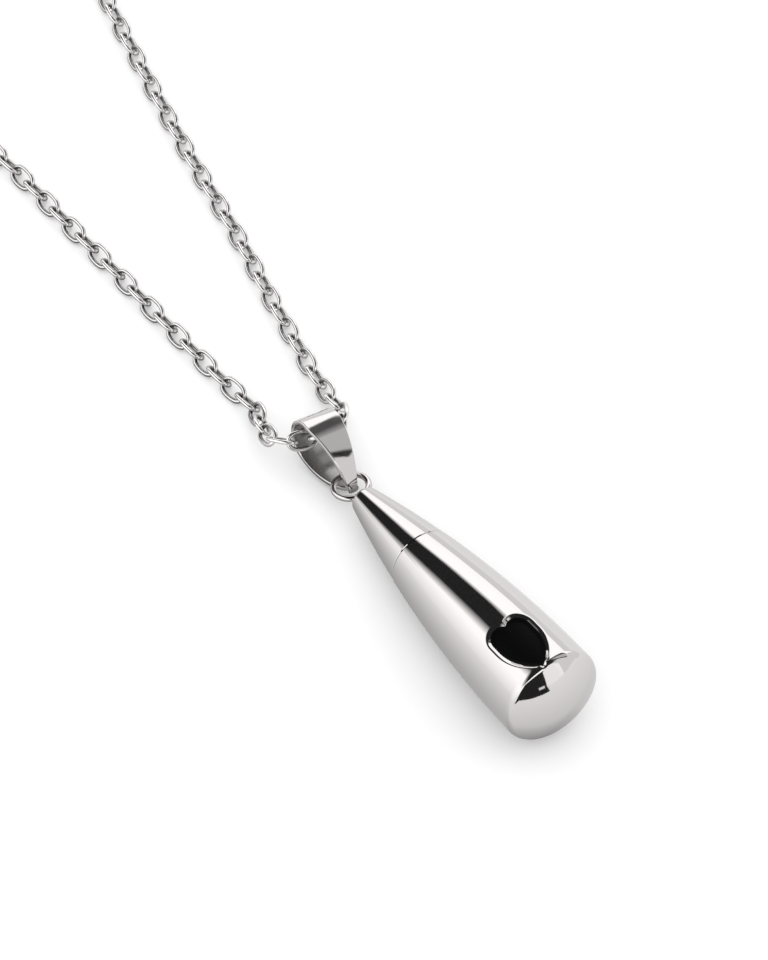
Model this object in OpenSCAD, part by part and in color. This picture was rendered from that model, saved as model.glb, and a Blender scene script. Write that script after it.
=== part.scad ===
/* [Drop] */
// Length of the closed drop, from its tip to the middle of its wide end
drop_l = 35.6; // [30:0.1:40]
// Largest diameter, close to the wide end
drop_d = 10.84; // [9:0.02:12.5]
// Radius of the long arc that the side follows
side_arc = 140; // [120:1:200]
// Distance from the wide end back to the largest diameter
crown_back = 2.2; // [1.5:0.1:3]
// Radius of the rounded tip
tip_round = 0.7; // [0.4:0.05:0.8]
// Radius of the rounded edge of the wide end
end_round = 1; // [0.6:0.05:1.4]
// Radius of the dome of the wide end
end_dome = 9; // [8:0.5:20]
// Tilt at which the drop lies, its wide end up
rest_tilt = 6.5; // [5.5:0.1:7.5]

/* [Cap and vial] */
// Length of the cap, from the tip to the seam
cap_l = 10.8; // [9.5:0.1:12]
// Width of the seam between cap and vial
seam_gap = 0.1; // [0.06:0.01:0.2]
// How far the vial's edge stands out from the cap's at the seam
seam_step = 0.04; // [0:0.01:0.08]
// Chamfer along both edges of the seam
seam_chamfer = 0.06; // [0.03:0.01:0.1]
// Diameter of the cap's stud
stud_d = 3.9; // [3:0.1:4.2]
// Length of the stud below the seam
stud_l = 4; // [3:0.1:6]
// Clearance round the stud in the vial's bore
stud_clearance = 0.15; // [0.1:0.01:0.2]
// Chamfer at the stud's end and at the bore's mouth
stud_chamfer = 0.3; // [0.2:0.05:0.4]
// Depth of the vial's chamber below the seam
chamber_l = 19; // [12:0.5:20]
// Point angle of the drill that made the chamber
drill_angle = 118; // [90:1:140]

/* [Heart] */
// Width of the heart, straight across
heart_w = 4.7; // [4:0.1:5]
// Distance from the lobes' centres to the heart's point
heart_l = 5.5; // [4.8:0.1:6]
// Length of the straight flank between lobe and point
heart_flank = 1; // [0.6:0.1:1.4]
// Radius of the lobes
lobe_r = 1.3; // [1.2:0.05:1.5]
// Distance from the wide end back to the heart's point
heart_back = 2.1; // [1.9:0.1:4]
// Turn of the heart round the drop, to the left of the top
heart_turn = 8; // [-20:1:20]
// Depth of the recess below the drop's surface
recess_depth = 1.1; // [0.8:0.05:1.5]
// Depth at which the enamel's face lies below the surface
enamel_sunk = 0.45; // [0.2:0.05:0.6]
// Gap round and under the enamel
enamel_gap = 0.04; // [0.03:0.01:0.08]

/* [Soldered ring] */
// Outer diameter of the ring on the cap's tip
ring_d = 4.3; // [4:0.1:4.6]
// Wire of that ring
ring_wire = 0.66; // [0.6:0.02:0.7]
// How deep the wire is sunk in the tip where it is soldered
solder_sink = 0.12; // [0.08:0.01:0.2]
// How far the ring droops below the line of the drop
ring_droop = 4.5; // [3:0.5:6]
// Width of the split in the ring
ring_split = 0.1; // [0.06:0.01:0.2]
// Angle from the solder to the split
split_angle = 37; // [30:1:60]

/* [Bail] */
// Length of the bail's loop outside, from the joined ends to the top
bail_l = 9.1; // [8.8:0.05:9.2]
// Outer radius of its top bend
bail_bend = 1.82; // [1.75:0.01:1.9]
// Outer radius of the upper leg
bail_front_arc = 8.5; // [8:0.1:10]
// Outer radius of the lower leg, which is bowed more
bail_back_arc = 5.45; // [5.2:0.05:5.7]
// Thickness of the strip
strip_t = 0.45; // [0.38:0.01:0.48]
// Width of the strip at the top bend
strip_w = 4.35; // [3.8:0.05:4.4]
// Width of the strip at the joined ends
strip_end_w = 1.26; // [1:0.02:1.6]
// Length of the joined ends below the loop
joined_l = 0.25; // [0.1:0.05:0.4]

/* [Chain] */
// Length of one link outside
link_l = 3.52; // [3.5:0.01:3.56]
// Width of one link outside
link_w = 2.3; // [2.25:0.01:2.35]
// Wire of the links
link_wire = 0.46; // [0.42:0.01:0.46]
// Distance from link to link along the chain, at most
link_pitch = 2.33; // [2.31:0.01:2.34]

/* [Clasp] */
// Width of the clasp's body
clasp_w = 4; // [3.4:0.1:4.6]
// Thickness of the clasp's end eyes
eye_t = 0.9; // [0.7:0.05:0.95]
// Diameter of the clasp's eyes
eye_d = 1.2; // [1:0.05:1.4]
// Metal left round an eye
eye_rim = 0.6; // [0.5:0.05:0.65]

/* [Hidden] */
$fn = 64;
FINE = 256;
VERY_FINE = 2000;
EPS = 0.01;
CLEAR = 0.15;
steel = [0.78, 0.78, 0.8];

// The drop is turned about its own Z, with the tip at 0; local +Y becomes the top when it lies down.
side_x = drop_d / 2 - side_arc;
crown_z = drop_l - crown_back;
function side_r(z) = side_x + sqrt(pow(side_arc, 2) - pow(z - crown_z, 2));
// Centre of the tip's rounding, which touches the end plane and the side arc
tip_cx = side_x + sqrt(pow(side_arc - tip_round, 2) - pow(crown_z - tip_round, 2));
tip_tangent_z = tip_round + tip_round * (tip_round - crown_z) / (side_arc - tip_round);
// Centre of the wide end's rounding, which touches the dome and the largest diameter
dome_z = drop_l - end_dome;
end_cx = drop_d / 2 - end_round;
end_cz = dome_z + sqrt(pow(end_dome - end_round, 2) - pow(end_cx, 2));

vial_start = cap_l + seam_gap;
bore_d = stud_d + 2 * stud_clearance;
chamber_end = vial_start + chamber_l;

// The drop touches the floor where the vial's side is as steep as its tilt.
tip_h = side_arc + seam_step + side_x * cos(rest_tilt) - crown_z * sin(rest_tilt);

// The ring is soldered to the middle of the tip's end.
ring_r = (ring_d - ring_wire) / 2;
ring_first = ring_wire / 2 - solder_sink;

// Heart, in plan: X across, Y towards the point, 0 at the lobes' centres
heart_tail = heart_l - heart_flank;
flank_r = (pow(heart_tail, 2) + pow(heart_w / 2, 2)) / heart_w;
heart_z = drop_l - heart_back - heart_l;

// Bail, in its own plane: X from the joined ends to the top, Y across the loop
bend_x = bail_l - bail_bend;
function leg_turn(leg_r) =
  acos((pow(leg_r, 2) + pow(bend_x, 2) - pow(leg_r - bail_bend, 2)) / (2 * leg_r * bend_x));
front_c = bail_front_arc * [cos(leg_turn(bail_front_arc)), -sin(leg_turn(bail_front_arc))];
back_c = bail_back_arc * [cos(leg_turn(bail_back_arc)), sin(leg_turn(bail_back_arc))];
bail_turn = [17.5, 13, 1.4];
bail_joint = [0.15, 1.8, 1.78];

// Where the pendant lies: its tip above [0, 0], its wide end towards -Y.
// Route of the chain, once round: [x, y, lift above where it lies]
CHAIN_ROUTE = [
  [-0.5, 8.2, 3.1], [1.7, 8.3, 2.55], [3.7, 9.2, 2], [4.8, 11.2, 1.15], [5.1, 13.5, 0.45], [5.4, 15.8, 0],
  [6, 19.6, 0], [7.5, 28, 0], [9.3, 37.1, 0], [11.5, 50.9, 0], [14.2, 64.8, 0], [16.1, 73.7, 0],
  [22.5, 100, 0], [29.5, 132, 0], [34.5, 165, 0], [33.5, 200, 0], [25, 226, 0], [7, 238, 0],
  [-10, 229, 0], [-19.5, 205, 0], [-21.5, 168, 0], [-17, 128, 0], [-11, 92, 0],
  [-5.7, 61, 0], [-4.6, 47.5, 0], [-4.1, 41, 0], [-3.4, 30.6, 0], [-2.7, 21.3, 0], [-2.2, 17.9, 0],
  [-2.3, 15.7, 0.5], [-3.2, 13.7, 1.35], [-4, 11.5, 2.4], [-3.2, 9.2, 3.2]
];
route_n = len(CHAIN_ROUTE);
function route_at(i) = CHAIN_ROUTE[(i + route_n) % route_n];
function span(i) = norm(route_at(i + 1) - route_at(i));
function heading(i) = (route_at(i + 1) - route_at(i - 1)) / (span(i) + span(i - 1));
// A smooth curve through the route's points
function curve(i, u) =
  (2 * u * u * u - 3 * u * u + 1) * route_at(i) + (u * u * u - 2 * u * u + u) * span(i) * heading(i)
  + (3 * u * u - 2 * u * u * u) * route_at(i + 1) + (u * u * u - u * u) * span(i) * heading(i + 1);
CURVE_STEPS = 12;
curve_points = [for (i = [0 : route_n - 1]) for (s = [0 : CURVE_STEPS - 1]) curve(i, s / CURVE_STEPS)];
curve_n = len(curve_points);
function curve_at(i) = curve_points[(i + curve_n) % curve_n];
// Distance along the curve at each of its points
distances = [for (i = 0, s = 0; i <= curve_n; s = s + norm(curve_at(i + 1) - curve_at(i)), i = i + 1) s];
loop_l = distances[curve_n];
along = [for (axis = [0 : 2]) [for (i = [0 : curve_n]) [distances[i], curve_at(i)[axis]]]];
// An even number of equal steps round the loop; the clasp takes the place of CLASP_STEPS of them.
CLASP_STEPS = 4;
step_n = 2 * ceil(loop_l / link_pitch / 2);
step_l = loop_l / step_n;
clasp_first = step_n / 2 - CLASP_STEPS / 2;
clasp_last = clasp_first + CLASP_STEPS;

// Links lean left and right by turns; near the clasp the chain turns until they stand and lie.
LEAN = 45;
lean_r = (link_w - link_wire) / 2;
TWIST_STEPS = 24;
LIE_GAP = 0.04;
function ease(u) = let (c = max(0, min(1, u))) c * c * (3 - 2 * c);
function lean(k) = k % 2 == 0 ? -LEAN : LEAN;
function turned(k) = ease(1 - (abs(k - step_n / 2) - CLASP_STEPS / 2) / TWIST_STEPS);
function twist(k) = turned(k) * lean(k < step_n / 2 ? clasp_first - 1 : clasp_last);
function rest_h(k) = lean_r * sin(LEAN + abs(twist(k))) + link_wire / 2 + LIE_GAP;
function joint(k) = let (d = (k % step_n) * step_l)
  [lookup(d, along[0]), lookup(d, along[1]), lookup(d, along[2]) + rest_h(k)];

// The origin lies on the floor at the middle of everything.
chain_xs = [for (p = curve_points) p[0]];
clasp_at = (joint(clasp_first) + joint(clasp_last)) / 2;
drop_end_y = -(dome_z * cos(rest_tilt) + end_dome);
middle = [(min(chain_xs) + max(chain_xs)) / 2, (drop_end_y + clasp_at[1] + clasp_w / 2) / 2, 0];

module drop_outline(grow = 0) {
  intersection() {
    square([drop_d / 2 + grow, drop_l + grow]);
    translate([side_x, crown_z]) circle(r = side_arc + grow, $fn = VERY_FINE);
    union() {
      translate([tip_cx, tip_round]) circle(r = tip_round + grow);
      translate([0, -grow]) square([tip_cx, drop_l]);
      translate([0, tip_tangent_z]) square([drop_d, drop_l]);
    }
    union() {
      translate([end_cx, end_cz]) circle(r = end_round + grow);
      intersection() {
        translate([0, dome_z]) circle(r = end_dome + grow, $fn = VERY_FINE);
        square([end_cx * (end_dome + grow) / (end_dome - end_round), drop_l + grow]);
      }
      translate([0, -grow]) square([drop_d, end_cz + grow]);
    }
  }
}

module lying_drop() {
  translate([0, 0, tip_h] - middle) rotate([90 - rest_tilt, 0, 0]) children();
}

module chamfered_rim(r, z, up) {
  rotate_extrude() polygon([
    [r - seam_chamfer, z], [r + seam_chamfer, z], [r + seam_chamfer, z + up * 2 * seam_chamfer]
  ]);
}

module tip_ring() {
  rotate([-ring_droop, 0, 0]) translate([0, 0, -ring_first - ring_r]) rotate([90, 90, 0])
    rotate([0, 0, split_angle])
      rotate_extrude(angle = 360 - ring_split / ring_r * 180 / PI, $fn = FINE)
        translate([ring_r, 0]) circle(d = ring_wire, $fn = 32);
}

module urn_cap() color(steel) lying_drop() {
  difference() {
    union() {
      rotate_extrude($fn = FINE) intersection() {
        drop_outline();
        square([drop_d, cap_l]);
      }
      translate([0, 0, cap_l - stud_l]) cylinder(d = stud_d, h = 2 * stud_l - stud_chamfer);
      translate([0, 0, cap_l + stud_l - stud_chamfer])
        cylinder(d1 = stud_d, d2 = stud_d - 2 * stud_chamfer, h = stud_chamfer);
    }
    chamfered_rim(side_r(cap_l), cap_l, -1);
  }
  tip_ring();
}

module heart_outline(inset = 0) {
  r = lobe_r - inset;
  flank_x = flank_r - heart_w / 2;
  for (side = [-1, 1]) translate([side * (heart_w / 2 - lobe_r), 0]) circle(r = r);
  translate([inset - heart_w / 2, 0]) square([heart_w - 2 * inset, heart_flank]);
  intersection() {
    translate([-flank_x, heart_flank]) circle(r = flank_r - inset, $fn = FINE);
    translate([flank_x, heart_flank]) circle(r = flank_r - inset, $fn = FINE);
    translate([-heart_w, heart_flank - EPS]) square([2 * heart_w, 2 * heart_l]);
  }
}

// A heart-shaped prism that stands on the drop's axis, cut by shells that follow the drop's side
module heart_prism(inset = 0) {
  rotate([0, 0, heart_turn]) translate([0, 0, heart_z]) rotate([-90, 0, 0])
    mirror([0, 1, 0]) linear_extrude(height = drop_d) heart_outline(inset);
}

module shell_core(depth) {
  rotate_extrude($fn = FINE) intersection() {
    translate([side_x, crown_z]) circle(r = side_arc - depth, $fn = VERY_FINE);
    square([drop_d, 2 * drop_l]);
  }
}

module urn_vial() color(steel) lying_drop() difference() {
  rotate_extrude($fn = FINE) intersection() {
    drop_outline(seam_step);
    translate([0, vial_start]) square([drop_d, drop_l]);
  }
  translate([0, 0, vial_start - EPS]) cylinder(d = bore_d, h = chamber_l + EPS);
  translate([0, 0, vial_start - EPS])
    cylinder(d1 = bore_d + 2 * stud_chamfer + 2 * EPS, d2 = bore_d, h = stud_chamfer + EPS);
  translate([0, 0, chamber_end])
    cylinder(d1 = bore_d, d2 = 0, h = bore_d / 2 / tan(drill_angle / 2));
  chamfered_rim(side_r(vial_start) + seam_step, vial_start, 1);
  difference() {
    heart_prism();
    shell_core(recess_depth);
  }
}

module heart_inlay() color([0.02, 0.02, 0.02]) lying_drop() difference() {
  intersection() {
    heart_prism(enamel_gap);
    shell_core(enamel_sunk);
  }
  shell_core(recess_depth - enamel_gap);
}

module bail_outline(inset) {
  translate([bend_x, 0]) circle(r = bail_bend - inset);
  front_touch = front_c + (bail_front_arc - inset) * ([bend_x, 0] - front_c) / norm([bend_x, 0] - front_c);
  back_touch = back_c + (bail_back_arc - inset) * ([bend_x, 0] - back_c) / norm([bend_x, 0] - back_c);
  intersection() {
    translate(front_c) circle(r = bail_front_arc - inset, $fn = FINE);
    translate(back_c) circle(r = bail_back_arc - inset, $fn = FINE);
    polygon([[-1, -bail_l], back_touch + [0, -bail_l], back_touch, [bend_x, 0],
             front_touch, front_touch + [0, bail_l], [-1, bail_l]]);
  }
}

// The strip's width: X from the joined ends to the top, Y across the strip
module bail_plan() {
  polygon([
    [-joined_l, -strip_end_w / 2], [0, -strip_end_w / 2], [bend_x, -strip_w / 2], [bail_l, -strip_w / 2],
    [bail_l, strip_w / 2], [bend_x, strip_w / 2], [0, strip_end_w / 2], [-joined_l, strip_end_w / 2]
  ]);
}

module bail() color(steel) translate(bail_joint - middle) rotate(bail_turn) intersection() {
  rotate([90, 0, 90]) linear_extrude(height = strip_w, center = true) {
    difference() {
      bail_outline(0);
      bail_outline(strip_t);
    }
    translate([-joined_l, -strip_t]) square([joined_l + strip_t, 2 * strip_t]);
  }
  mirror([1, -1, 0]) linear_extrude(height = 2 * bail_l, center = true) bail_plan();
}

// One link: two half rings and two straight wires, its length along X
module link() {
  straight = link_l - link_w;
  for (turn = [0, 180]) rotate([0, 0, turn]) {
    translate([straight / 2, 0, 0]) rotate([0, 0, -90])
      rotate_extrude(angle = 180, $fn = 36) translate([lean_r, 0]) circle(d = link_wire, $fn = 18);
    translate([-straight / 2, lean_r, 0]) rotate([0, 90, 0])
      cylinder(d = link_wire, h = straight, $fn = 18);
  }
}

module links(first, last) {
  for (k = [first : last]) {
    a = joint(k);
    b = joint(k + 1);
    d = b - a;
    translate((a + b) / 2 - middle) rotate([0, -asin(d[2] / norm(d)), atan2(d[1], d[0])])
      rotate([lean(k) + twist(k + 0.5), 0, 0]) link();
  }
}

module chain_right() color(steel) links(0, clasp_first - 1);

module chain_left() color(steel) links(clasp_last, step_n - 1);

// How far the inside of a link's end curves in at a distance y from its middle
function bend_depth(y) = let (r = lean_r - link_wire / 2) r - sqrt(pow(r, 2) - pow(y, 2));

module clasp() color(steel) {
  d = joint(clasp_last) - joint(clasp_first);
  wire_x = norm(d) / 2 - (link_l - link_wire - step_l) / 2 + link_wire / 2;
  eye_x = wire_x + bend_depth(eye_t / 2) + CLEAR - eye_d / 2;
  translate(clasp_at - middle) rotate([0, 0, atan2(d[1], d[0])]) difference() {
    union() {
      for (side = [-1, 1]) translate([side * eye_x, 0, -eye_t / 2])
        cylinder(d = eye_d + 2 * eye_rim, h = eye_t);
      translate([-eye_x, -eye_d / 2 - eye_rim, -eye_t / 2]) cube([2 * eye_x, eye_d + 2 * eye_rim, eye_t]);
      translate([0, 0, -rest_h(clasp_first)]) cylinder(d = clasp_w, h = 2 * rest_h(clasp_first));
    }
    for (side = [-1, 1]) translate([side * eye_x, 0, -eye_t]) cylinder(d = eye_d, h = 2 * eye_t);
  }
}

urn_cap();
urn_vial();
heart_inlay();
bail();
chain_left();
chain_right();
clasp();
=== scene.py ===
# %% [markdown]
# # A keepsake urn pendant on its chain
# The object is a teardrop of polished steel that lies on a white table. Its narrow end is a cap with a ring soldered
# to the tip, and its long body is a small vial with a heart sunk in its side. A folded bail holds it on a cable chain.
# Mirror-polished steel has almost no look of its own: it shows the room around it. So the first half of the work is
# shape, made smooth enough to reflect well, and the second half is the room: white light with one dark opening.

# %% Load the frame
import math

import bmesh
import bpy
import numpy as np
from mathutils import Matrix, Vector


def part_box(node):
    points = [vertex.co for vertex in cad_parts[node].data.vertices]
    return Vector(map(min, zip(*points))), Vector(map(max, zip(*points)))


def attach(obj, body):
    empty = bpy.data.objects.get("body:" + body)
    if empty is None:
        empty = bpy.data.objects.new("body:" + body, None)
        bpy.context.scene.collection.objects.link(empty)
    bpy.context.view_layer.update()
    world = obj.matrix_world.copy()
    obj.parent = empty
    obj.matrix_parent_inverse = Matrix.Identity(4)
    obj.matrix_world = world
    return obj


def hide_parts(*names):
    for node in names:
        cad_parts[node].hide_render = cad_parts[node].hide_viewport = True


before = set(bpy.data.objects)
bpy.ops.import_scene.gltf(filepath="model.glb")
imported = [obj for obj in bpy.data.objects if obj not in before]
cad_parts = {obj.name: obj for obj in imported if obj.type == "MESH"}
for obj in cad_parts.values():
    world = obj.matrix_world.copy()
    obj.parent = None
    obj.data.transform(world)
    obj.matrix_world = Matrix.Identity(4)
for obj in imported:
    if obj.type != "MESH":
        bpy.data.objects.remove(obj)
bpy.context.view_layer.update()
MM = 0.001
print("nodes:", ", ".join(sorted(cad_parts)))

# %% [markdown]
# ## Camera
# The photograph was taken from well above and from the drop's wide end, with a long lens, so parallel edges stay
# nearly parallel. Place, aim and focal length follow from the drop's own outline. Everything is measured from the
# drop's tip, which the frame gives: the ring reaches a known way behind it.

# %% Camera
RING_REACH = 4.111  # how far the ring's far side lies behind the drop's tip
TIP_HEIGHT = 2.544  # of the tip's centre, above the table
CAMERA_FROM_TIP = Vector((-193.15, -286.85, 457.41))
AIM_FROM_TIP = Vector((4.18, 2.11, -TIP_HEIGHT))
LENS_MM, SENSOR_MM = 262.3, 36
cap_low, cap_high = (Vector(corner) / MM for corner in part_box("urn_cap"))
TIP = Vector(((cap_low.x + cap_high.x) / 2, cap_high.y - RING_REACH, TIP_HEIGHT))
camera_at = (TIP + CAMERA_FROM_TIP) * MM
camera_aim = (TIP + AIM_FROM_TIP) * MM

camera_data = bpy.data.cameras.new("studio_camera")
camera_data.sensor_fit = "HORIZONTAL"
camera_data.sensor_width = SENSOR_MM
camera_data.lens = LENS_MM
camera_data.clip_start = 0.01
camera = bpy.data.objects.new("studio_camera", camera_data)
bpy.context.scene.collection.objects.link(camera)
camera.location = camera_at
camera.rotation_euler = (camera_aim - camera_at).to_track_quat("-Z", "Y").to_euler()
bpy.context.scene.camera = camera
# Product photographs keep white paper white, so no film curve is laid over the picture
bpy.context.scene.view_settings.view_transform = "Standard"
print("camera distance: %.0f mm" % ((camera_aim - camera_at).length / MM))

# %% [markdown]
# ## Where things are
# The drop was turned on a lathe, so it is easiest to describe in its own frame: Z runs from the tip to the wide end,
# and Y points to the side that lies uppermost. One matrix then lays it down, tilted as it rests on the table. Every
# piece is written as rows of points in millimetres, and one helper turns them into a smooth mesh that rides on its
# body.

# %% The drop's frame
REST_TILT = math.radians(6.5)
drop_frame = Matrix.Scale(MM, 4) @ Matrix.Translation(TIP) @ Matrix.Rotation(math.pi / 2 - REST_TILT, 4, "X")
print("the drop's axis rises by %.2f mm in 10" % ((drop_frame.to_3x3() @ Vector((0, 0, 10))).z / MM))

# %% Helpers for meshes
WELD = 0.002  # mm: points closer than this are one point


def make_piece(name, points, faces, body, matrix=None, smooth_angle=30):
    """A mesh object from points in millimetres, smooth where its faces meet at less than the angle."""
    mesh = bpy.data.meshes.new(name)
    mesh.from_pydata([tuple(p) for p in points], [], [tuple(f) for f in faces])
    mesh.transform(matrix if matrix is not None else Matrix.Scale(MM, 4))
    # Rows that run in to the axis end in one point, and every face looks outwards
    shape = bmesh.new()
    shape.from_mesh(mesh)
    bmesh.ops.remove_doubles(shape, verts=shape.verts, dist=WELD * MM)
    bmesh.ops.recalc_face_normals(shape, faces=shape.faces)
    shape.to_mesh(mesh)
    shape.free()
    mesh.shade_smooth()
    mesh.set_sharp_from_angle(angle=math.radians(smooth_angle))
    piece = bpy.data.objects.new(name, mesh)
    bpy.context.scene.collection.objects.link(piece)
    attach(piece, body)
    print("%s: %d faces" % (name, len(faces)))
    return piece


def grid_faces(rows, columns, wrap_rows=False, wrap_columns=False, start=0):
    """Quads between rows of points that were written one row after the other."""
    faces = []
    for r in range(rows if wrap_rows else rows - 1):
        for c in range(columns if wrap_columns else columns - 1):
            r2, c2 = (r + 1) % rows, (c + 1) % columns
            faces.append((start + r * columns + c, start + r * columns + c2,
                          start + r2 * columns + c2, start + r2 * columns + c))
    return faces


def end_faces(rows, columns, start=0):
    """The two faces that close a tube at its first and its last row."""
    last = start + (rows - 1) * columns
    return [tuple(range(start + columns - 1, start - 1, -1)), tuple(range(last, last + columns))]


def on_lathe(radius, angle, z):
    """Points about the drop's axis, at angles from local +Y towards +X."""
    return np.column_stack([radius * np.sin(angle), radius * np.cos(angle), np.broadcast_to(z, np.shape(angle))])


print("a tube of 2 rows and 4 columns: %d faces" % len(grid_faces(2, 4, wrap_columns=True) + end_faces(2, 4)))

# %% [markdown]
# ## The turned profile
# The side is one long arc of 140 mm radius, the tip is rounded over, and the wide end is a dome with a rounded edge.
# A curve object could be spun round the axis, but a mirror shows every facet, so the profile is written as points that
# lie close together where it turns quickly. Each function gives points (radius, z) in millimetres.

# %% Profile of the drop
SIDE_ARC, CROWN_Z, DROP_R, DROP_L = 140, 33.4, 5.42, 35.6
END_ROUND, END_DOME = 1.0, 9.0
ROUND_STEPS, DOME_STEPS = 28, 40
AXIS_R = 0.0005  # a row on the axis keeps this radius until it is welded to one point


def side_r(z):
    return DROP_R - SIDE_ARC + np.sqrt(SIDE_ARC**2 - (z - CROWN_Z) ** 2)


def arc(cx, cz, r, start, end, steps):
    """Points on a circle, at angles in degrees from the radius direction towards +Z."""
    angles = np.radians(np.linspace(start, end, steps))
    return [(cx + r * math.cos(a), cz + r * math.sin(a)) for a in angles]


def end_profile(grow):
    """The rounded edge and the dome of the wide end, out from the side and in to the axis."""
    centre_x = DROP_R - END_ROUND
    dome_z = DROP_L - END_DOME
    centre_z = dome_z + math.sqrt((END_DOME - END_ROUND) ** 2 - centre_x**2)
    top = math.degrees(math.atan2(centre_z - dome_z, centre_x))
    rounding = arc(centre_x, centre_z, END_ROUND + grow, 0, top, ROUND_STEPS)
    dome = arc(0, dome_z, END_DOME + grow, top, 90, DOME_STEPS)[1:]
    return rounding, dome, centre_z


print("the drop is %.2f mm across at its widest and %.2f mm at half its length"
      % (2 * side_r(CROWN_Z), 2 * side_r(DROP_L / 2)))

# %% [markdown]
# ## The heart in the vial's side
# On the real drop the heart was cut before polishing, and the buffing wheel softened its edge: the steel rolls over
# into the recess, so the room's dark stripe bends round the heart like water round a stone. A bevel on a boolean
# edge would break up on such a mirror. Instead the vial is one grid of points, dense around the heart, and each
# point is pushed inwards by an amount that depends only on its distance from the heart's outline.

# %% Distance from the heart's outline
HEART_W, HEART_L, HEART_FLANK, LOBE_R = 4.7, 5.5, 1, 1.3
HEART_Z = 28.0  # the lobes' centres
HEART_TURN = math.radians(8)
POINT_WEIGHT = 0.999  # keeps the corner's own distance just below the circles', where both say the same


def heart_distance(x, y):
    """How far points lie outside the heart; y runs towards its point, and negative means inside."""
    tail = HEART_L - HEART_FLANK
    flank_r = (tail**2 + (HEART_W / 2) ** 2) / HEART_W
    flank_x = flank_r - HEART_W / 2
    lobes = np.hypot(np.abs(x) - (HEART_W / 2 - LOBE_R), y) - LOBE_R
    box_x, box_y = np.abs(x) - HEART_W / 2, np.abs(y - HEART_FLANK / 2) - HEART_FLANK / 2
    flank = np.hypot(np.maximum(box_x, 0), np.maximum(box_y, 0)) + np.minimum(np.maximum(box_x, box_y), 0)
    # Outside its point the lens is farther away than either circle says, so the point itself is measured too
    lens = np.hypot(np.abs(x) + flank_x, y - HEART_FLANK) - flank_r
    lens = np.where(y > HEART_L, np.maximum(lens, np.hypot(x, y - HEART_L) * POINT_WEIGHT), lens)
    lens = np.maximum(lens, -y)
    return np.minimum(np.minimum(lobes, flank), lens)


print("1 mm past the heart's point the distance is %.2f mm" % heart_distance(0, HEART_L + 1))

# %% How the steel falls away at the heart
RECESS_DEPTH = 1.1
SOFTENED, SOFT_SLOPE = 0.55, 0.83  # how far the buffing wheel reached outside the outline, and how steep it left it
ROLL = 0.28  # the outer part of that reach, over which the steel begins to slope
RIM_ROUND, RIM_END, WALL_DRAFT = 0.02, 84, 0.1  # the rim's radius, where its curve ends in degrees, the wall's lean


def rim_section():
    """The buffed zone, the rounded rim, the wall and the floor, as (distance inwards, depth)."""
    reach = np.linspace(0, SOFTENED, 24)
    fall = SOFT_SLOPE * np.where(reach < ROLL, reach**2 / (2 * ROLL), reach - ROLL / 2)
    slope = list(zip(reach - SOFTENED, fall))
    start = math.atan(SOFT_SLOPE)
    rim = [(RIM_ROUND * (math.sin(a) - math.sin(start)), fall[-1] + RIM_ROUND * (math.cos(start) - math.cos(a)))
           for a in np.linspace(start, math.radians(RIM_END), 8)[1:]]
    foot = (rim[-1][0] + (RECESS_DEPTH - rim[-1][1]) * WALL_DRAFT, RECESS_DEPTH)
    return np.array(slope + rim + [foot])


RIM = rim_section()


def recess_depth_at(distance):
    return np.interp(-distance, RIM[:, 0], RIM[:, 1])


print("the steel has fallen %.2f mm where the heart's outline begins" % recess_depth_at(0))

# %% [markdown]
# ## The vial
# The outside is a lathe grid whose rows and columns crowd together around the heart. At the seam the profile turns
# in over a small chamfer, down the bore for the cap's stud, and into the drilled chamber with its cone. It is one
# closed skin, because the chamber shows when the vial is drawn off the cap.

# %% Rows and columns that crowd round the heart
COARSE, COARSE_TURN, FINE = 0.5, math.radians(3), 0.042  # steps far from the heart along and around, and near it
HEART_MIDDLE = HEART_Z + 2.1
ALONG, AROUND = 4.1, 3.0  # how far the fine steps reach from the heart's middle, in millimetres


def crowded(start, end, centre, half, coarse, fine):
    """Values from start to end, fine steps within half of the centre and coarse ones elsewhere."""
    near = np.arange(centre - half, centre + half + fine / 2, fine)
    before = np.linspace(start, near[0], max(2, int((near[0] - start) / coarse)), endpoint=False)
    after = np.linspace(near[-1], end, max(2, int((end - near[-1]) / coarse)))[1:]
    return np.concatenate([before, near, after])


heart_r = side_r(HEART_Z + 2)  # widths across the heart are arcs of this radius
columns = crowded(-math.pi, math.pi, -HEART_TURN, AROUND / heart_r, COARSE_TURN, FINE / heart_r)[:-1]
print("%d columns round the vial" % len(columns))

# %% The vial's profile, from the chamber's cone out through the seam and back to the axis at the dome
CAP_L, SEAM_GAP, SEAM_STEP, SEAM_CHAMFER = 10.8, 0.1, 0.04, 0.06
BORE_R, BORE_CHAMFER, BORE_MIDDLE, CHAMBER_L, DRILL_POINT = 2.1, 0.3, 10, 19, 118
vial_start = CAP_L + SEAM_GAP
chamber_end = vial_start + CHAMBER_L
cone_l = BORE_R / math.tan(math.radians(DRILL_POINT / 2))
chamber = [(0, chamber_end + cone_l), (BORE_R, chamber_end), (BORE_R, vial_start + BORE_MIDDLE)]
mouth = [(BORE_R, vial_start + BORE_CHAMFER), (BORE_R + BORE_CHAMFER, vial_start)]
lip = [(side_r(vial_start) + SEAM_STEP - SEAM_CHAMFER, vial_start)]
rounding, dome, side_end = end_profile(SEAM_STEP)
side_z = crowded(vial_start + SEAM_CHAMFER, DROP_L, HEART_MIDDLE, ALONG, COARSE, FINE)
outside = [(side_r(z) + SEAM_STEP, z) for z in side_z[side_z < side_end]] + rounding
profile = chamber + mouth + lip + outside + dome
first_outside = len(chamber) + len(mouth) + len(lip)
print("%d rows, of which %d on the outside" % (len(profile), len(outside)))

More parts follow.
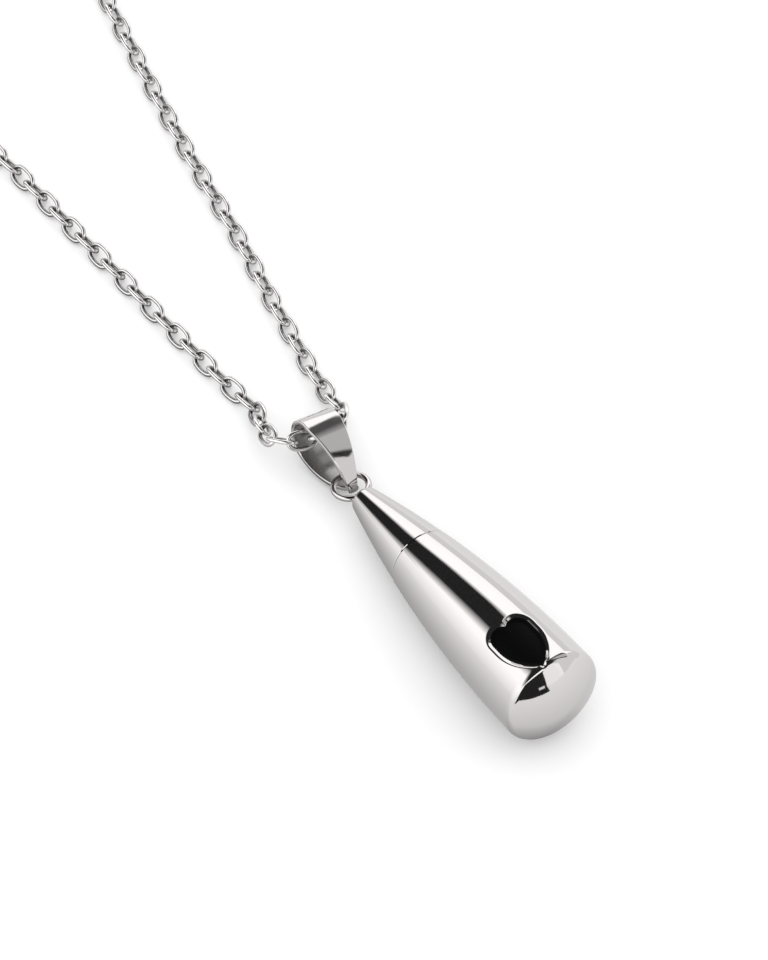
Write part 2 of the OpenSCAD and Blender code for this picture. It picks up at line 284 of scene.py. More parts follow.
# %% The vial
HEART_REACH = 1.2  # the recess lies within this angle of the heart's middle
across_heart = columns + HEART_TURN  # angles are measured from local +Y, and the heart sits at -HEART_TURN
points = []
for row, (r, z) in enumerate(profile):
    depth = 0
    if first_outside <= row < first_outside + len(outside):
        across = across_heart * r
        depth = recess_depth_at(heart_distance(across, np.full_like(across, z - HEART_Z)))
        depth = np.where(np.abs(across_heart) < HEART_REACH, depth, 0)
    points.extend(on_lathe(max(r, AXIS_R) - depth, columns, z))
vial = make_piece("vial_polished", points, grid_faces(len(profile), len(columns), wrap_columns=True),
                  "vial", drop_frame, smooth_angle=40)
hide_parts("urn_vial")

# %% [markdown]
# ## The enamel in the heart
# Black enamel was run into the recess as a thick liquid. It creeps up the walls before it sets, so its face is a
# shallow dish. A flat plate would leave a gap along the wall that glints in the light, so the dish is a grid of points
# cut along the heart's outline, with a skirt down to the floor.

# %% The enamel
ENAMEL_SUNK, MENISCUS, CREEP = 0.45, 0.4, 0.22  # how deep its middle lies, and how wide and high it climbs the wall
OVER_EDGE = 0.13  # how far the enamel laps over the steel's sloping edge, so that no gap glints between them
FLOOR_GAP, MARGIN, CELLS = 0.04, 0.1, 220
X, Y = np.meshgrid(np.linspace(-HEART_W / 2 - MARGIN, HEART_W / 2 + MARGIN, CELLS),
                   np.linspace(-LOBE_R - MARGIN, HEART_L + MARGIN, CELLS))
distance = heart_distance(X, Y)
wanted = (distance < OVER_EDGE).ravel()
kept_cells = [f for f in grid_faces(CELLS, CELLS) if all(wanted[i] for i in f)]
used = sorted({i for f in kept_cells for i in f})
new_number = {old: new for new, old in enumerate(used)}
creep = np.clip(1 + distance / MENISCUS, 0, 1)
surface_r = side_r(Y + HEART_Z)
angle, z = (X / heart_r - HEART_TURN).ravel()[used], (Y + HEART_Z).ravel()[used]
top_r = (surface_r - (ENAMEL_SUNK - CREEP * creep**2)).ravel()[used]
floor_r = (surface_r - RECESS_DEPTH + FLOOR_GAP).ravel()[used]
points = [*on_lathe(top_r, angle, z), *on_lathe(floor_r, angle, z)]
top = [tuple(new_number[i] for i in f)[::-1] for f in kept_cells]
edges = dict.fromkeys((a, b) for f in top for a, b in zip(f, f[1:] + f[:1]))
below = len(used)
skirt = [(b, a, a + below, b + below) for a, b in edges if (b, a) not in edges]
floor = [tuple(i + below for i in f[::-1]) for f in top]
enamel = make_piece("heart_enamel", points, top + skirt + floor, "vial", drop_frame, smooth_angle=40)
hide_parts("heart_inlay")

# %% [markdown]
# ## The cap and its stud
# The cap is turned too, with a threaded stud below the seam that holds the vial. A modelled thread needs no boolean:
# each row of the stud is a circle whose radius swells and shrinks once round, and the next row turns it on a little,
# so the ridges climb as one spiral.

# %% The cap
COLUMNS = 256
TIP_ROUND = 0.7
STUD_R, STUD_L, STUD_CHAMFER, STUD_FOOT = 1.95, 4, 0.3, 0.12
THREAD_PITCH, THREAD_DEPTH, THREAD_RUN_IN = 0.5, 0.08, 0.4
tip_centre_x = (DROP_R - SIDE_ARC) + math.sqrt((SIDE_ARC - TIP_ROUND) ** 2 - (CROWN_Z - TIP_ROUND) ** 2)
tip_side_z = TIP_ROUND + TIP_ROUND * (TIP_ROUND - CROWN_Z) / (SIDE_ARC - TIP_ROUND)
tip_end_angle = math.degrees(math.asin((tip_side_z - TIP_ROUND) / TIP_ROUND))
tip = [(AXIS_R, 0), (tip_centre_x / 2, 0)] + arc(tip_centre_x, TIP_ROUND, TIP_ROUND, -90, tip_end_angle, 20)
cap_side = [(side_r(z), z) for z in np.linspace(tip_side_z, CAP_L - SEAM_CHAMFER, 60)[1:]]
shoulder = [(side_r(CAP_L) - SEAM_CHAMFER, CAP_L), (STUD_R + STUD_FOOT, CAP_L)]
stud_z = np.linspace(CAP_L, CAP_L + STUD_L - STUD_CHAMFER, 75)
stud_end = [(STUD_R - STUD_CHAMFER, CAP_L + STUD_L), (AXIS_R, CAP_L + STUD_L)]
cap_profile = tip + cap_side + shoulder + [(STUD_R, z) for z in stud_z] + stud_end
cap_columns = np.linspace(0, 2 * math.pi, COLUMNS, endpoint=False)
first_stud = len(tip) + len(cap_side) + len(shoulder)
points = []
for row, (r, z) in enumerate(cap_profile):
    radius = np.full(COLUMNS, r)
    if first_stud <= row < first_stud + len(stud_z):
        phase = ((z - CAP_L) / THREAD_PITCH - cap_columns / (2 * math.pi)) % 1
        fade = min(1, (z - CAP_L) / THREAD_RUN_IN, (CAP_L + STUD_L - STUD_CHAMFER - z) / STUD_CHAMFER)
        radius = r + THREAD_DEPTH * fade * (1 - 4 * np.abs(phase - 0.5))
    points.extend(on_lathe(radius, cap_columns, z))
cap_faces = grid_faces(len(cap_profile), COLUMNS, wrap_columns=True)
print("the stud's thread turns %.0f times" % (STUD_L / THREAD_PITCH))

# %% [markdown]
# ## The ring and its solder
# The ring is a piece of wire bent round and butted, and the small gap is near the solder. A torus would hide that
# gap, so the wire is swept as a tube that stops just short of itself, its two ends a little rounded. A drop of solder
# joins it to the cap's rounded tip, and all three are one solid.

# %% The ring
RING_D, RING_WIRE, SOLDER_SINK = 4.3, 0.66, 0.12
RING_DROOP, RING_SPLIT, SPLIT_ANGLE = math.radians(4.5), 0.1, 37
RING_ROWS, WIRE_SIDES, WIRE_END_ROUND = 160, 32, 0.06
ring_r = (RING_D - RING_WIRE) / 2
ring_frame = (Matrix.Rotation(-RING_DROOP, 4, "X") @ Matrix.Translation((0, 0, -RING_WIRE / 2 + SOLDER_SINK - ring_r))
              @ Matrix.Rotation(math.pi / 2, 4, "Y") @ Matrix.Rotation(math.pi / 2, 4, "X")
              @ Matrix.Rotation(math.radians(SPLIT_ANGLE), 4, "Z"))
turn = 2 * math.pi - RING_SPLIT / ring_r
first = len(points)
for row in range(RING_ROWS + 2):
    a = turn * min(max(row - 1, 0), RING_ROWS - 1) / (RING_ROWS - 1)
    wire = RING_WIRE / 2 - (WIRE_END_ROUND if row in (0, RING_ROWS + 1) else 0)
    for side in range(WIRE_SIDES):
        b = 2 * math.pi * side / WIRE_SIDES
        r = ring_r + wire * math.cos(b)
        points.append(ring_frame @ Vector((r * math.cos(a), r * math.sin(a), wire * math.sin(b))))
cap_faces += grid_faces(RING_ROWS + 2, WIRE_SIDES, wrap_columns=True, start=first)
cap_faces += end_faces(RING_ROWS + 2, WIRE_SIDES, first)
print("the ring's wire is %.1f mm long" % (turn * ring_r))

# %% The solder, a lump with three low swellings
SOLDER_R, SOLDER_LIFT, SWELLING = (0.62, 0.5, 0.34), 0.02, 0.05
SOLDER_ROWS, SOLDER_SIDES = 20, 40
first = len(points)
for row in range(SOLDER_ROWS):
    a = math.pi * row / (SOLDER_ROWS - 1)
    for side in range(SOLDER_SIDES):
        b = 2 * math.pi * side / SOLDER_SIDES
        lump = 1 + SWELLING * math.sin(3 * b + 2 * a)
        points.append((SOLDER_R[0] * lump * math.sin(a) * math.cos(b), SOLDER_R[1] * lump * math.sin(a) * math.sin(b),
                       -SOLDER_LIFT - SOLDER_R[2] * lump * math.cos(a)))
cap_faces += grid_faces(SOLDER_ROWS, SOLDER_SIDES, wrap_columns=True, start=first)
cap = make_piece("cap_with_ring", points, cap_faces, "necklace", drop_frame, smooth_angle=40)
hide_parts("urn_cap")

# %% [markdown]
# ## The bail
# A bail starts as a flat strip that is wide in the middle and narrow at both ends. It is folded over, its ends are
# joined inside the ring, and it is buffed on the outside only, so its edges are rounded and its inside stays duller.
# The strip is swept as a rounded rectangle along the folded line, wide at the bend and narrow at the ends.

# %% The folded line
BAIL_L, BAIL_BEND, FRONT_ARC, BACK_ARC = 9.1, 1.82, 8.5, 5.45
LEG_STEPS = 60
bend_x = BAIL_L - BAIL_BEND


def leg_centre(leg_r, side):
    """The centre of a leg's arc, which starts at the joined ends and runs smoothly into the bend."""
    turned = math.acos((leg_r**2 + bend_x**2 - (leg_r - BAIL_BEND) ** 2) / (2 * leg_r * bend_x))
    return np.array([leg_r * math.cos(turned), -side * leg_r * math.sin(turned)])


def bent(centre, radius, angles):
    """Points on an arc, each with the direction that looks outwards."""
    return [(centre + radius * np.array([math.cos(a), math.sin(a)]), (math.cos(a), math.sin(a))) for a in angles]


front_c, back_c = leg_centre(FRONT_ARC, 1), leg_centre(BACK_ARC, -1)
front_a = math.atan2(-front_c[1], bend_x - front_c[0])
back_a = math.atan2(-back_c[1], bend_x - back_c[0])
start_a, end_a = math.atan2(-front_c[1], -front_c[0]), math.atan2(-back_c[1], -back_c[0])
path = bent(front_c, FRONT_ARC, np.linspace(start_a, front_a, LEG_STEPS))
path += bent(np.array([bend_x, 0]), BAIL_BEND, np.linspace(front_a, back_a, LEG_STEPS)[1:-1])
path += bent(back_c, BACK_ARC, np.linspace(back_a, end_a, LEG_STEPS))
strip_l = sum(np.linalg.norm(b[0] - a[0]) for a, b in zip(path, path[1:]))
print("the strip is %.1f mm long before it is folded" % strip_l)

# %% The strip and its joined ends
STRIP_T, STRIP_W, STRIP_END_W, JOINED_L, STRIP_EDGE = 0.45, 4.35, 1.26, 0.25, 0.13
BLOCK_INSET, BLOCK_ROUND, BLOCK_END = 0.1, 0.3, 0.8
FLAT_MARGIN = 0.04  # a point this close to each rounded corner keeps the flat faces flat in their shading too
BAIL_AT = (TIP.x + 0.15, TIP.y + 1.8, 1.78)  # its joined ends, inside the ring
BAIL_LEAN, BAIL_ROLL, BAIL_TURN = 17.5, 13, 1.4  # degrees about X, Y and Z, as it comes to rest on the ring
bail_frame = (Matrix.Scale(MM, 4) @ Matrix.Translation(BAIL_AT)
              @ Matrix.Rotation(math.radians(BAIL_TURN), 4, "Z") @ Matrix.Rotation(math.radians(BAIL_ROLL), 4, "Y")
              @ Matrix.Rotation(math.radians(BAIL_LEAN), 4, "X"))


def rounded_section(width, thickness, r, steps=5):
    """A rounded rectangle: across the strip, and inwards from its outer face."""
    # Each corner's centre, where its curve ends in degrees, and the way along the next face
    corners = [(width / 2 - r, -r, 0, (0, -1)), (width / 2 - r, r - thickness, -90, (-1, 0)),
               (r - width / 2, r - thickness, -180, (0, 1)), (r - width / 2, -r, -270, (1, 0))]
    section = []
    for cx, cy, end, (nx, ny) in corners:
        for a in np.radians(np.linspace(end + 90, end, steps)):
            section.append((cx + r * math.cos(a), cy + r * math.sin(a)))
        section.append((section[-1][0] + nx * FLAT_MARGIN, section[-1][1] + ny * FLAT_MARGIN))
    return section


points = []
for outer, out in path:
    along = min(max(outer[0] / bend_x, 0), 1)
    strip = rounded_section(STRIP_END_W + (STRIP_W - STRIP_END_W) * along, STRIP_T, STRIP_EDGE)
    points += [(across, *(outer + inward * np.array(out))) for across, inward in strip]
strip_sides = len(strip)
faces = grid_faces(len(path), strip_sides, wrap_columns=True) + end_faces(len(path), strip_sides)
strip_skin = (len(path) - 1) * strip_sides  # this many faces are the strip's skin, and the rest are its ends
# The joined ends: a short block, rounded all over
first = len(points)
block = rounded_section(STRIP_END_W - BLOCK_INSET, 2 * STRIP_T - BLOCK_INSET, BLOCK_ROUND, 6)
block_rows = ((-JOINED_L, BLOCK_END), (-JOINED_L + BLOCK_INSET, 1), (STRIP_T - JOINED_L, 1), (STRIP_T, BLOCK_END))
for y, share in block_rows:
    points += [(across * share, y, (z + STRIP_T - BLOCK_INSET / 2) * share) for across, z in block]
faces += grid_faces(len(block_rows), len(block), wrap_columns=True, start=first)
faces += end_faces(len(block_rows), len(block), first)
bail = make_piece("bail_strip", points, faces, "necklace", bail_frame, smooth_angle=50)
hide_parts("bail")

# %% [markdown]
# ## The links of the chain
# Each link is a piece of round wire bent into an oval round a mandrel, and closed. It is swept as a tube along a line
# between a slot's outline and an ellipse. The links are painted darker on the inside, most of all at the ends where
# the neighbours hang, as painted shade. So each point also keeps a number that says how much painted shade it gets,
# for the material to read.

# %% One link
LINK_L, LINK_W, LINK_WIRE = 3.52, 2.3, 0.46
LINK_ROWS, LINK_SIDES = 48, 12
PAINTED_SHADE_BEGINS, END_PAINTED_SHADE = 0.35, 0.4  # the wire's side where the painted shade begins, and how much more of it the ends get


def link_mesh():
    """Points of a link about its own middle, length along X and width along Y, and how much painted shade each one
    gets.
    """
    half, r = (LINK_L - LINK_W) / 2, (LINK_W - LINK_WIRE) / 2
    line = []
    for row in range(LINK_ROWS):
        a = 2 * math.pi * row / LINK_ROWS
        straight = math.copysign(half, math.cos(a)) * min(1, abs(math.cos(a)) * 2)
        slot = np.array([straight + r * math.cos(a), r * math.sin(a)])
        oval = np.array([(half + r) * math.cos(a), r * math.sin(a)])
        line.append(0.5 * slot + 0.5 * oval)
    line = np.array(line)
    tangent = np.roll(line, -1, axis=0) - np.roll(line, 1, axis=0)
    tangent /= np.linalg.norm(tangent, axis=1)[:, None]
    out = np.column_stack([tangent[:, 1], -tangent[:, 0]])
    points, painted_shade = [], []
    for row, (centre, normal) in enumerate(zip(line, out)):
        end = min(1, 1.5 * abs(math.cos(2 * math.pi * row / LINK_ROWS)) ** 2)
        for b in 2 * math.pi * np.arange(LINK_SIDES) / LINK_SIDES:
            points.append((*(centre + LINK_WIRE / 2 * math.cos(b) * normal), LINK_WIRE / 2 * math.sin(b)))
            # painted shade: more on the wire's inner side, and more still at the link's ends
            inside = max(0, PAINTED_SHADE_BEGINS - math.cos(b)) / (1 + PAINTED_SHADE_BEGINS)
            painted_shade.append(inside * (1 - END_PAINTED_SHADE + END_PAINTED_SHADE * end))
    return np.array(points), np.array(painted_shade)


one_link, link_painted_shade = link_mesh()
link_faces = grid_faces(LINK_ROWS, LINK_SIDES, wrap_rows=True, wrap_columns=True)
print("one link: %.2f by %.2f mm" % tuple(np.ptp(one_link, axis=0)[:2]))

# %% [markdown]
# ## The chain in its place
# The frame already holds every link where it lies, so nothing has to be placed again. Each plain link is found as a
# group of points that edges join. Its middle is the mean of those points, its length runs along their widest spread,
# and its plane follows from the narrowest: the three axes of a singular value decomposition.


# %% Find the plain links
def islands(mesh):
    """The vertices of each separate link in a mesh, in millimetres."""
    co = np.zeros(len(mesh.vertices) * 3)
    mesh.vertices.foreach_get("co", co)
    co = co.reshape(-1, 3) / MM
    # Corners that lie on one another, to the nearest thousandth of a millimetre, count as one
    _, same = np.unique(np.round(co * 1000).astype(np.int64), axis=0, return_inverse=True)
    parent = np.arange(same.max() + 1)

    def root(i):
        while parent[i] != i:
            parent[i] = parent[parent[i]]
            i = parent[i]
        return i

    ends = np.zeros(len(mesh.edges) * 2, np.int64)
    mesh.edges.foreach_get("vertices", ends)
    for a, b in same.ravel()[ends].reshape(-1, 2):
        ra, rb = root(a), root(b)
        if ra != rb:
            parent[ra] = rb
    roots = np.array([root(i) for i in same.ravel()])
    return [co[roots == r] for r in np.unique(roots)]


plain_links = {node: islands(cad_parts[node].data) for node in ("chain_left", "chain_right")}
print({node: len(links) for node, links in plain_links.items()})

# %% Set a finer link on each
chains = []
for node, links in plain_links.items():
    points, faces = [], []
    for link in links:
        middle = link.mean(0)
        _, _, axes = np.linalg.svd(link - middle, full_matrices=False)
        if np.linalg.det(axes) < 0:
            axes[2] *= -1
        start = len(points)
        points.extend(one_link @ axes + middle)
        faces.extend(tuple(i + start for i in f) for f in link_faces)
    chain = make_piece(node + "_links", points, faces, "necklace", smooth_angle=80)
    # each point's share of painted shade, which the chain's material reads
    painted_shade_attribute = chain.data.attributes.new("painted_shade", "FLOAT", "POINT")
    painted_shade_attribute.data.foreach_set("value", np.tile(link_painted_shade, len(links)))
    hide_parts(node)
    chains.append(chain)

# %% [markdown]
# ## The studio
# The table and the sky are white. What makes the steel look polished is a single dark opening overhead and behind,
# the unlit part of the studio, which runs away from the camera and draws the black stripe along the drop. Small
# helpers come first: one turns the colours, which are written as sRGB hex values, to linear ones, one adds a shader
# node with its settings and links, and one starts a material.


# %% Colours and nodes
def srgb(code):
    """A hex colour as linear red, green, blue and alpha."""
    values = [int(code[i : i + 2], 16) / 255 for i in (1, 3, 5)]
    return tuple(v / 12.92 if v <= 0.04045 else ((v + 0.055) / 1.055) ** 2.4 for v in values) + (1,)


def add_node(tree, kind, links=(), **settings):
    """Adds a node, sets its properties and input values, and links its inputs to the outputs that are given."""
    node = tree.nodes.new(kind)
    for name, value in settings.items():
        setattr(node, name, value)
    for socket, value in dict(links).items():
        if isinstance(value, bpy.types.NodeSocket):
            tree.links.new(value, node.inputs[socket])
        else:
            node.inputs[socket].default_value = value
    return node


def new_material(name):
    material = bpy.data.materials.new(name)
    material.use_nodes = True
    tree = material.node_tree
    return material, tree, tree.nodes["Principled BSDF"]


WHITE = srgb("#FFFFFF")
print("middle grey is %.3f of white in light" % srgb("#808080")[0])

# %% [markdown]
# ## The light
# Large white sheets hang all round the real table, so the light comes from everywhere and has hardly any edge. A
# world that is white in every direction does the same without noise. It is brightest overhead, and near the horizon
# it is brighter on the right, where the window is.

# %% World
ZENITH, HORIZON_LEFT, HORIZON_RIGHT = 1.55, 1.12, 1.4
EVEN_ABOVE, SIDE_SPREAD = 0.42, 0.6  # the height, and the share to each side, where the brightness stops changing
world = bpy.data.worlds.new("white_studio")
bpy.context.scene.world = world
world.use_nodes = True
tree = world.node_tree
direction = add_node(tree, "ShaderNodeSeparateXYZ", {0: add_node(tree, "ShaderNodeTexCoord").outputs["Generated"]})
low_light = add_node(tree, "ShaderNodeMapRange", {
    "Value": direction.outputs["X"], "From Min": -SIDE_SPREAD, "From Max": SIDE_SPREAD,
    "To Min": HORIZON_LEFT, "To Max": HORIZON_RIGHT})
light = add_node(tree, "ShaderNodeMapRange", {
    "Value": direction.outputs["Z"], "From Min": 0.0, "From Max": EVEN_ABOVE,
    "To Min": low_light.outputs["Result"], "To Max": ZENITH})
background = tree.nodes["Background"]
tree.links.new(light.outputs["Result"], background.inputs["Strength"])
background.inputs["Color"].default_value = WHITE
print("light: %.2f overhead, %.2f to %.2f near the horizon" % (ZENITH, HORIZON_LEFT, HORIZON_RIGHT))

# %% [markdown]
# ## The room that the steel shows
# Photographers of jewellery set black and white cards round a mirror-like piece and move them until its reflections
# draw its shape. The cards here do that, and only reflections see them: they cast no shadow and the camera looks
# through them. Some fade out at their edges, as a card does that stands close to the piece and out of focus.

# %% Paper for the cards
drop_middle = Vector((TIP.x, TIP.y - 20, 5)) * MM


def card_paper(name, strength):
    """Paper of an even brightness, clear where the card fades."""
    material, tree, _ = new_material(name)
    tree.nodes.clear()
    paper = add_node(tree, "ShaderNodeEmission", {"Color": WHITE, "Strength": strength})
    clear = add_node(tree, "ShaderNodeBsdfTransparent")
    cover = add_node(tree, "ShaderNodeAttribute", attribute_name="cover")
    mixed = add_node(tree, "ShaderNodeMixShader", {0: cover.outputs["Fac"], 1: clear.outputs[0], 2: paper.outputs[0]})
    add_node(tree, "ShaderNodeOutputMaterial", {"Surface": mixed.outputs[0]})
    return material


dark = card_paper("unlit_room", 0.022)
shaded = card_paper("shaded_wall", 0.1)
grey = card_paper("grey_wall", 0.64)
pale = card_paper("pale_wall", 0.92)
bright = card_paper("lit_wall", 1.2)
print("papers:", ", ".join(paper.name for paper in (dark, shaded, grey, pale, bright)))


# %% Cards
def card(name, left, right, material, feather=(0, 0)):
    """A card between two edges, seen only in reflections. Points are directions from the drop, in metres, and the
    card fades to clear over a share of its width at its left and right edge."""
    fade_left, fade_right = feather
    steps = [(-fade_left / 2, 0.0)] * (fade_left > 0) + [(fade_left / 2, 1.0), (1 - fade_right / 2, 1.0)]
    steps += [(1 + fade_right / 2, 0.0)] * (fade_right > 0)
    points, cover = [], []
    for a, b in zip(left, right):
        for share, value in steps:
            points.append(drop_middle + Vector(a).lerp(Vector(b), share))
            cover.append(value)
    mesh = bpy.data.meshes.new(name)
    mesh.from_pydata(points, [], grid_faces(len(left), len(steps)))
    mesh.attributes.new("cover", "FLOAT", "POINT").data.foreach_set("value", cover)
    mesh.materials.append(material)
    piece = bpy.data.objects.new(name, mesh)
    bpy.context.scene.collection.objects.link(piece)
    piece.visible_camera = piece.visible_diffuse = piece.visible_shadow = piece.visible_transmission = False
    print("%s: %d points" % (name, len(points)))


def around(azimuth, elevation, distance=1.0):
    """A point in a compass direction from the drop, in degrees from +X towards +Y."""
    a, e = math.radians(azimuth), math.radians(elevation)
    return (distance * math.cos(a), distance * math.sin(a), distance * math.tan(e))


# The gap between the white sheets overhead: behind the drop it draws the long black stripe, and in front of it the
# dark round the heart's point and along the rounded end. Its left and its right edge, one metre up, front to back:
GAP_LEFT = [(-1.3, -0.85), (-1, -0.3), (-0.6, 0.2), (-0.49, 0.6), (-0.6, 1.19), (-0.74, 1.56), (-1.14, 2.33),
            (-1.35, 2.6), (-9, 16.9)]
GAP_RIGHT = [(0.72, -0.85), (0.7, -0.3), (0.45, 0.2), (0.37, 0.6), (0.57, 1.19), (0.46, 1.47), (0.25, 1.76),
             (0.24, 2.6), (-1, 16.9)]
card("gap_overhead", [(x, y, 1) for x, y in GAP_LEFT], [(x, y, 1) for x, y in GAP_RIGHT], dark, (0.4, 0.22))
# The dark room in front of the paper's edge, seen in the rounded end. It comes down to the table close to the drop
ROOM_ROWS = ((33, 1.0), (-0.25, 1.0), (-3.4, 0.083))
card("room_in_front", [around(-136, *row) for row in ROOM_ROWS], [around(-83, *row) for row in ROOM_ROWS], dark)

# %% Cards that stand upright
UPRIGHT = (
    # name, azimuth, top and foot of the left edge, the same of the right edge, distance, paper, fading
    ("small_light", (-93, 3, -0.2), (-86, 3, -0.2), 0.9, pale, (0, 0)),  # in the dark room
    # A grey wall on the right with dark edges, and a pale one in front of it: seen in the bail's flat face
    ("wall_right", (20, 66, 29), (-24, 66, 27), 1.0, grey, (0, 0)),
    ("wall_edge_back", (31, 66, 29), (12, 66, 29), 0.93, shaded, (0.1, 0.7)),
    ("wall_edge_front", (-21, 66, 27), (-29, 66, 27), 0.95, dark, (0.4, 0.1)),
    ("wall_front", (-28, 66, 0), (-60, 60, 0), 1.0, pale, (0, 0)),
    ("wall_near_the_light", (-59, 50, 0), (-84, 50, 0), 1.0, bright, (0.6, 0)),
    # On the right the paper sweeps up behind the table
    ("paper_sweep", (78, 12, 0), (12, 12, 0), 1.0, pale, (0, 0)),
    ("paper_roll", (13, 27, 0), (-29, 27, 0), 1.0, pale, (0, 0)),
)
for name, left, right, distance, paper, feather in UPRIGHT:
    edges = [[around(azimuth, height, distance) for height in heights] for azimuth, *heights in (left, right)]
    card(name, *edges, paper, feather)

# %% [markdown]
# ## The table
# The photograph's white was lifted until the table burnt out, but the steel mirrors it as it was: shaded close to
# the metal, and brighter further away. So the table has two looks. To the camera it is matt white paper. To a ray
# that comes off the steel it is brighter the longer the ray was, which is how contact shade looks from the metal.
# The shade reaches further on the left, away from the window. The table is a backdrop, so none of this is part of
# the pendant.

# %% Table
SHADE_LEFT, SHADE_RIGHT, SHADE_FRONT = 6, 2.6, 2.2  # the distance in mm at which the mirrored table is half as bright
SHADE_FROM, SHADE_TO = TIP.x - 3, TIP.x + 5  # from the left side's value to the right side's
FRONT_FROM, FRONT_TO = -3, 2  # mm from the wide end, over which the front's value takes hold
MIRRORED_WHITE = (1.08, 1.08, 1.08, 1)  # a little above white, as the lit paper is
TABLE_HALF, BELOW_FLOOR = 3, 0.00002  # metres
wide_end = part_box("urn_vial")[0][1]
table_material, tree, shader = new_material("matt_white_table")
shader.inputs["Base Color"].default_value = srgb("#DADADA")
shader.inputs["Emission Color"].default_value = WHITE
shader.inputs["Emission Strength"].default_value = 0.09  # light that the paper passes on from below
shader.inputs["Roughness"].default_value = 0.9
shader.inputs["Specular IOR Level"].default_value = 0.0
ray = add_node(tree, "ShaderNodeLightPath")
where = add_node(tree, "ShaderNodeSeparateXYZ", {0: add_node(tree, "ShaderNodeNewGeometry").outputs["Position"]})
shade = add_node(tree, "ShaderNodeMapRange", {
    "Value": where.outputs["X"], "From Min": SHADE_FROM * MM, "From Max": SHADE_TO * MM,
    "To Min": SHADE_LEFT * MM, "To Max": SHADE_RIGHT * MM})
in_front = add_node(tree, "ShaderNodeMapRange", {
    "Value": where.outputs["Y"], "From Min": wide_end + FRONT_FROM * MM, "From Max": wide_end + FRONT_TO * MM,
    "To Min": SHADE_FRONT * MM, "To Max": SHADE_LEFT * MM})
least = add_node(tree, "ShaderNodeMath", {0: shade.outputs["Result"], 1: in_front.outputs["Result"]},
                 operation="MINIMUM")
further = add_node(tree, "ShaderNodeMath", {0: ray.outputs["Ray Length"], 1: least.outputs[0]}, operation="ADD")
share = add_node(tree, "ShaderNodeMath", {0: ray.outputs["Ray Length"], 1: further.outputs[0]}, operation="DIVIDE")
mirrored = add_node(tree, "ShaderNodeEmission", {"Color": MIRRORED_WHITE, "Strength": share.outputs[0]})
both = add_node(tree, "ShaderNodeMixShader", {0: ray.outputs["Is Glossy Ray"], 1: shader.outputs[0],
                                              2: mirrored.outputs[0]})
tree.links.new(both.outputs[0], tree.nodes["Material Output"].inputs["Surface"])
mesh = bpy.data.meshes.new("table")
mesh.from_pydata([(x * TABLE_HALF, y * TABLE_HALF, -BELOW_FLOOR) for x, y in ((-1, -1), (1, -1), (1, 1), (-1, 1))],
                 [], [(0, 1, 2, 3)])
mesh.materials.append(table_material)
table = bpy.data.objects.new("table", mesh)
bpy.context.scene.collection.objects.link(table)
print("table: %d m wide" % (2 * TABLE_HALF))

# %% [markdown]
# ## The steels
# Stainless steel reflects about two thirds of the light, a little less in the blue. Every metal piece here is the
# same steel, and what differs is how each surface was finished, and where its colour carries painted light and
# painted shade. A finish shows in two ways: how far it spreads a reflection, which is the roughness, and how it bends
# one, which is the bump. Neither is quite even on a real piece, so both come from noise with a scale in millimetres.

# %% Stainless steel
STEEL = "#D3CFCF"
HAZE = 2.5  # mm between the hazier and the clearer places that the buffing wheel leaves


def steel(name, roughness, bump_mm, bump_scale_mm, colour=STEEL, painted_shade_colour=None):
    """Stainless steel: roughness from its finish, and a faint unevenness left by the polishing. Where a piece's points
    carry painted shade, the steel there is darkened towards the painted shade colour."""
    material, tree, shader = new_material(name)
    shader.inputs["Base Color"].default_value = srgb(colour)
    shader.inputs["Metallic"].default_value = 1
    place = add_node(tree, "ShaderNodeTexCoord")
    haze = add_node(tree, "ShaderNodeTexNoise", {"Vector": place.outputs["Object"], "Scale": 1 / (HAZE * MM),
                                                 "Detail": 3})
    spread = add_node(tree, "ShaderNodeMapRange", {"Value": haze.outputs["Fac"], "To Min": roughness * 0.7,
                                                   "To Max": roughness * 1.3})
    tree.links.new(spread.outputs["Result"], shader.inputs["Roughness"])
    waves = add_node(tree, "ShaderNodeTexNoise", {"Vector": place.outputs["Object"],
                                                  "Scale": 1 / (bump_scale_mm * MM), "Detail": 2})
    bump = add_node(tree, "ShaderNodeBump", {"Height": waves.outputs["Fac"], "Distance": bump_mm * MM, "Strength": 1})
    tree.links.new(bump.outputs["Normal"], shader.inputs["Normal"])
    if painted_shade_colour:
        # painted shade: the colour darkens towards the darker one as far as each point carries it
        painted_shade = add_node(tree, "ShaderNodeAttribute", attribute_name="painted_shade")
        steel_with_painted_shade = add_node(tree, "ShaderNodeMix", {0: painted_shade.outputs["Fac"], 6: srgb(colour),
                                                7: srgb(painted_shade_colour)}, data_type="RGBA")
        tree.links.new(steel_with_painted_shade.outputs[2], shader.inputs["Base Color"])
    return material


# Buffed with ever finer compound: a mirror, with the faintest waves where the wheel passed
mirror_steel = steel("stainless_steel_mirror_buffed", 0.05, 0.0012, 1.2)
# Buffed after folding, with less care: a mirror whose reflections are a little softer
bail_steel = steel("stainless_steel_buffed_strip", 0.08, 0.0025, 1.0)
# As it came from the rolling mill: grey, and it shows the room only as a blur
rough_steel = steel("stainless_steel_rolled_inside", 0.28, 0.006, 0.4, "#A5A3A1")
# Tumbled in steel shot and softened: painted light raises its colour, and painted shade darkens the links' insides
chain_steel = steel("stainless_steel_tumbled_wire_painted_light_and_shade", 0.19, 0.002, 0.6, "#F0EDED", "#565454")
# Cut on the lathe and left so: dull, with fine tool marks drawn coarse enough to show, and dark as painted shade
seam_shade_steel = steel("stainless_steel_turned_with_painted_seam_shade", 0.35, 0.004, 0.15, "#4A4847")
print("steels:", ", ".join(m.name for m in (mirror_steel, bail_steel, rough_steel, chain_steel, seam_shade_steel)))

# %% Dress the metal
SEAM_ALONG, SEAM_OUTSIDE = 0.01, 0.02


def dress(piece, *materials):
    piece.data.materials.clear()
    for material in materials:
        piece.data.materials.append(material)
    print("%s: %s" % (piece.name, ", ".join(m.name for m in materials)))


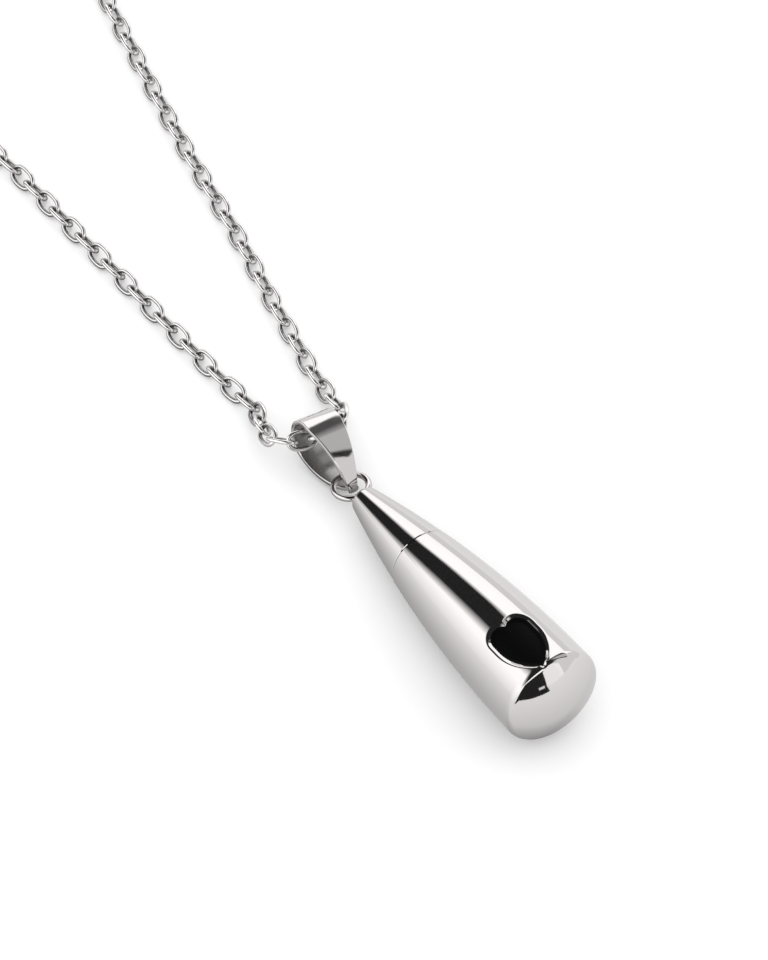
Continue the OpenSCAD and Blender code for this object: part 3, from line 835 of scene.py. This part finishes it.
for piece in (vial, cap):
    dress(piece, mirror_steel, seam_shade_steel)
    # The two faces that meet in the seam were turned and never buffed, and their dark colour is painted shade for the
    # narrow gap, so the seam is a dark line
    for face in piece.data.polygons:
        place = drop_frame.inverted() @ face.center
        beside = CAP_L - SEAM_ALONG < place.z < vial_start + SEAM_ALONG
        within = STUD_R < math.hypot(place.x, place.y) < side_r(CAP_L) - SEAM_OUTSIDE
        face.material_index = int(beside and within)
dress(bail, bail_steel, rough_steel)
# The inside of the fold is the side of the strip that the wheel doesn't reach, and so are its joined ends
INNER_SIDE = 11
for number, face in enumerate(bail.data.polygons):
    if number >= strip_skin or number % strip_sides == INNER_SIDE:
        face.material_index = 1
for piece in (*chains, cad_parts["clasp"]):
    dress(piece, chain_steel)

# %% [markdown]
# ## The enamel's finish
# Vitreous enamel is glass fused to the metal, and this one is black right through. Down in its recess it has nothing
# bright to mirror, so it reads as plain black: its gloss is turned nearly off, which keeps the bright room from
# greying it. It pools and shrinks as it sets, so its face is faintly uneven and nowhere quite as glossy as next to it.

# %% Enamel
POOL = 0.8  # mm between the places where the glass pooled
enamel_black, tree, shader = new_material("black_vitreous_enamel")
shader.inputs["Base Color"].default_value = srgb("#050505")
shader.inputs["Specular IOR Level"].default_value = 0.03
place = add_node(tree, "ShaderNodeTexCoord")
pools = add_node(tree, "ShaderNodeTexNoise", {"Vector": place.outputs["Object"], "Scale": 1 / (POOL * MM),
                                              "Detail": 2})
gloss = add_node(tree, "ShaderNodeMapRange", {"Value": pools.outputs["Fac"], "To Min": 0.4, "To Max": 0.6})
tree.links.new(gloss.outputs["Result"], shader.inputs["Roughness"])
uneven = add_node(tree, "ShaderNodeBump", {"Height": pools.outputs["Fac"], "Distance": 0.006 * MM, "Strength": 1})
tree.links.new(uneven.outputs["Normal"], shader.inputs["Normal"])
dress(enamel, enamel_black)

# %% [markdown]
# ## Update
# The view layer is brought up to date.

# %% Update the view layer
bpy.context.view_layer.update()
